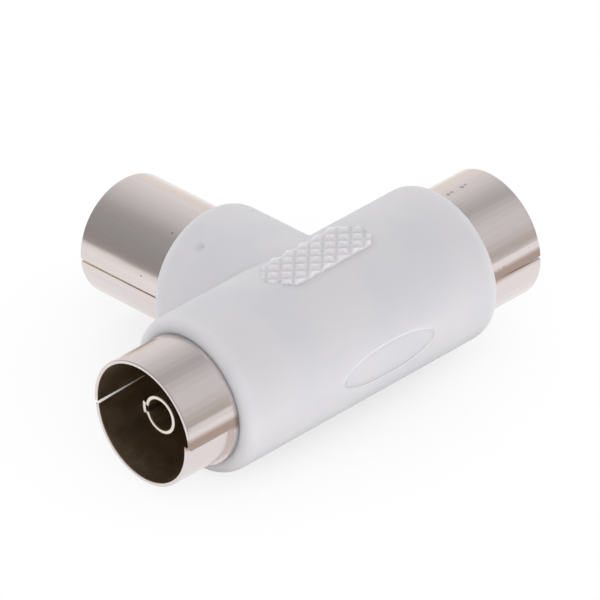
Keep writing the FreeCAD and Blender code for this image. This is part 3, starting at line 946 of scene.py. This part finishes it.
@dataclass(frozen=True)
class Card:
    """A wide soft card that only polished surfaces see: where it stands, and how its light falls off."""

    azimuth: float
    elevation: float
    edge: float
    middle: float
    light: float

    def direction(self) -> tuple[float, float, float]:
        """The unit vector towards the card."""
        turn, rise = math.radians(self.azimuth), math.radians(self.elevation)
        return (math.cos(turn) * math.cos(rise), math.sin(turn) * math.cos(rise), math.sin(rise))


@dataclass(frozen=True)
class Lamp:
    """A soft lamp: place and size in metres, power in watts, and whether it lies flat and faces up."""

    name: str
    place: tuple[float, float, float]
    size: tuple[float, float]
    power: float
    flat: bool = False


@dataclass(frozen=True)
class Studio:
    """The pale floor, the light tent and the soft lamps. Sizes in metres."""

    floor_size: float = 0.16
    floor_drop: float = 0.01 * MM
    floor_colour: str = "#fbfbfb"
    floor_white: float = 0.7
    # The shadow is whole to the first of these distances and gone at the second
    shadow_whole: float = 8 * MM
    shadow_reach: float = 26 * MM
    ceiling: float = 0.48
    tent_light: float = 0.87
    # The tint is whole at the first of these heights, as a share of straight up, and gone at the second
    horizon: str = "#fff8ee"
    horizon_heights: tuple[float, float] = (0.05, 0.35)
    cards: tuple[Card, ...] = (
        Card(azimuth=50, elevation=0, edge=0.35, middle=1.0, light=0.44),
        Card(azimuth=-48, elevation=34, edge=0.8, middle=1.0, light=0.26),
        Card(azimuth=140, elevation=12, edge=0.5, middle=1.0, light=-0.14),
    )
    lamps: tuple[Lamp, ...] = (
        Lamp("key_lamp", (-0.2, -0.3, 0.6), (0.5, 0.5), 0.5),
        Lamp("back_lamp", (0.3, 0.5, 0.5), (0.5, 0.5), 0.35),
        # Reflectors that lie in front and at the left brighten the undersides
        Lamp("front_reflector", (-0.015, -0.036, 0.0005), (0.09, 0.04), 0.0075, flat=True),
        Lamp("left_reflector", (-0.036, 0.004, 0.0005), (0.03, 0.036), 0.004, flat=True),
    )

    def build(self, layout: Layout) -> None:
        """Makes floor, tent and lamps.

        Args:
            layout: The splitter's layout.
        """
        self.floor(layout)
        self.tent()
        for lamp in self.lamps:
            self.hang(lamp, layout.crossing)

    def floor(self, layout: Layout) -> None:
        """Lays a plain pale floor that shows white and keeps the soft shadow.

        Args:
            layout: The splitter's layout.
        """
        bpy.ops.object.select_all(action="DESELECT")
        bpy.ops.mesh.primitive_plane_add(size=self.floor_size,
                                         location=(0, 0, layout.low.z - self.floor_drop))
        floor = bpy.context.object
        floor.name = "floor"
        material = bpy.data.materials.new("pale_floor")
        material.use_nodes = True
        tree = material.node_tree
        tree.nodes.clear()
        plain = add_node(tree, "ShaderNodeBsdfDiffuse", {"Color": linear(self.floor_colour)})
        white = add_node(tree, "ShaderNodeEmission", {"Color": linear(WHITE), "Strength": 1.0})
        rays = add_node(tree, "ShaderNodeLightPath").outputs
        seen = rays["Is Camera Ray"]
        for kind in ("Is Glossy Ray", "Is Transmission Ray"):
            seen = add_node(tree, "ShaderNodeMath", {"operation": "MAXIMUM"},
                            {0: seen, 1: rays[kind]}).outputs[0]
        # The shadow fades out with the distance from the splitter
        place = add_node(tree, "ShaderNodeTexCoord").outputs["Object"]
        away = add_node(tree, "ShaderNodeVectorMath", {"operation": "LENGTH"}, {0: place}).outputs["Value"]
        share = add_node(tree, "ShaderNodeMapRange",
                         {"interpolation_type": "SMOOTHSTEP", 1: self.shadow_whole, 2: self.shadow_reach,
                          3: self.floor_white, 4: 1.0}, {0: away}).outputs[0]
        share = add_node(tree, "ShaderNodeMath", {"operation": "MULTIPLY"}, {0: share, 1: seen}).outputs[0]
        both = add_node(tree, "ShaderNodeMixShader",
                        links={0: share, 1: plain.outputs[0], 2: white.outputs[0]})
        add_node(tree, "ShaderNodeOutputMaterial", links={"Surface": both.outputs[0]})
        floor.data.materials.append(material)
        floor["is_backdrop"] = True

    def tent(self) -> None:
        """Makes a world that is white to the camera, even as a lamp, and in polish a dim roof with cards."""
        world = bpy.data.worlds.new("light_tent")
        bpy.context.scene.world = world
        world.use_nodes = True
        tree = world.node_tree
        tree.nodes.clear()
        towards = add_node(tree, "ShaderNodeTexCoord").outputs["Generated"]
        polish = None
        for card in self.cards:
            facing = add_node(tree, "ShaderNodeVectorMath",
                              {"operation": "DOT_PRODUCT", 1: card.direction()},
                              {0: towards}).outputs["Value"]
            glow = add_node(tree, "ShaderNodeMapRange",
                            {1: card.edge, 2: card.middle, 3: 0.0, 4: card.light}, {0: facing}).outputs[0]
            polish = add_node(tree, "ShaderNodeMath", {"operation": "ADD", 0: self.ceiling, 1: 0.0},
                              {1: glow} if polish is None else {0: polish, 1: glow}).outputs[0]
        height = add_node(tree, "ShaderNodeSeparateXYZ", links={"Vector": towards}).outputs["Z"]
        height = add_node(tree, "ShaderNodeMath", {"operation": "ABSOLUTE"}, {0: height}).outputs[0]
        low, high = self.horizon_heights
        clear = add_node(tree, "ShaderNodeMapRange", {1: low, 2: high}, {0: height}).outputs[0]
        tint = add_node(tree, "ShaderNodeMix",
                        {"data_type": "RGBA", 6: linear(self.horizon), 7: linear(WHITE)},
                        {0: clear}).outputs[2]
        rays = add_node(tree, "ShaderNodeLightPath").outputs
        seen = add_node(tree, "ShaderNodeMath", {"operation": "MAXIMUM"},
                        {0: rays["Is Camera Ray"], 1: rays["Is Transmission Ray"]}).outputs[0]
        strength = add_node(tree, "ShaderNodeMapRange", {3: self.tent_light, 4: 1.0}, {0: seen}).outputs[0]
        plain = add_node(tree, "ShaderNodeBackground", {"Color": linear(WHITE)}, {"Strength": strength})
        polished = add_node(tree, "ShaderNodeBackground", links={"Color": tint, "Strength": polish})
        both = add_node(tree, "ShaderNodeMixShader",
                        links={0: rays["Is Glossy Ray"], 1: plain.outputs[0], 2: polished.outputs[0]})
        add_node(tree, "ShaderNodeOutputWorld", links={"Surface": both.outputs[0]})

    def hang(self, plan: Lamp, target: Vector) -> None:
        """Sets up a soft lamp that metal doesn't mirror.

        Args:
            plan: The lamp.
            target: What it faces, unless it lies flat.
        """
        data = bpy.data.lights.new(plan.name, "AREA")
        data.shape = "RECTANGLE"
        data.size, data.size_y = plan.size
        data.energy = plan.power
        lamp = bpy.data.objects.new(plan.name, data)
        lamp.location = plan.place
        aim = Vector((0, 0, -1)) if plan.flat else Vector(plan.place) - target
        lamp.rotation_euler = aim.to_track_quat("Z", "Y").to_euler()
        lamp.visible_camera = lamp.visible_glossy = False
        bpy.context.scene.collection.objects.link(lamp)


def main() -> None:
    """Loads the frame, makes and dresses every piece, and sets up camera and studio."""
    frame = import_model()
    layout = Layout.from_frame(frame["record"])
    nodes = frame["nodes"]
    PhotoCamera().build(layout.crossing)
    MouldedBody().build(nodes, layout)
    HalfShells().build(nodes, layout)
    Conductors().build(nodes, layout)
    Insides().build(nodes)
    Studio().build(layout)
    bpy.context.scene.view_settings.view_transform = "Standard"


if __name__ == "__main__":
    logging.basicConfig(level=logging.INFO)
    main()
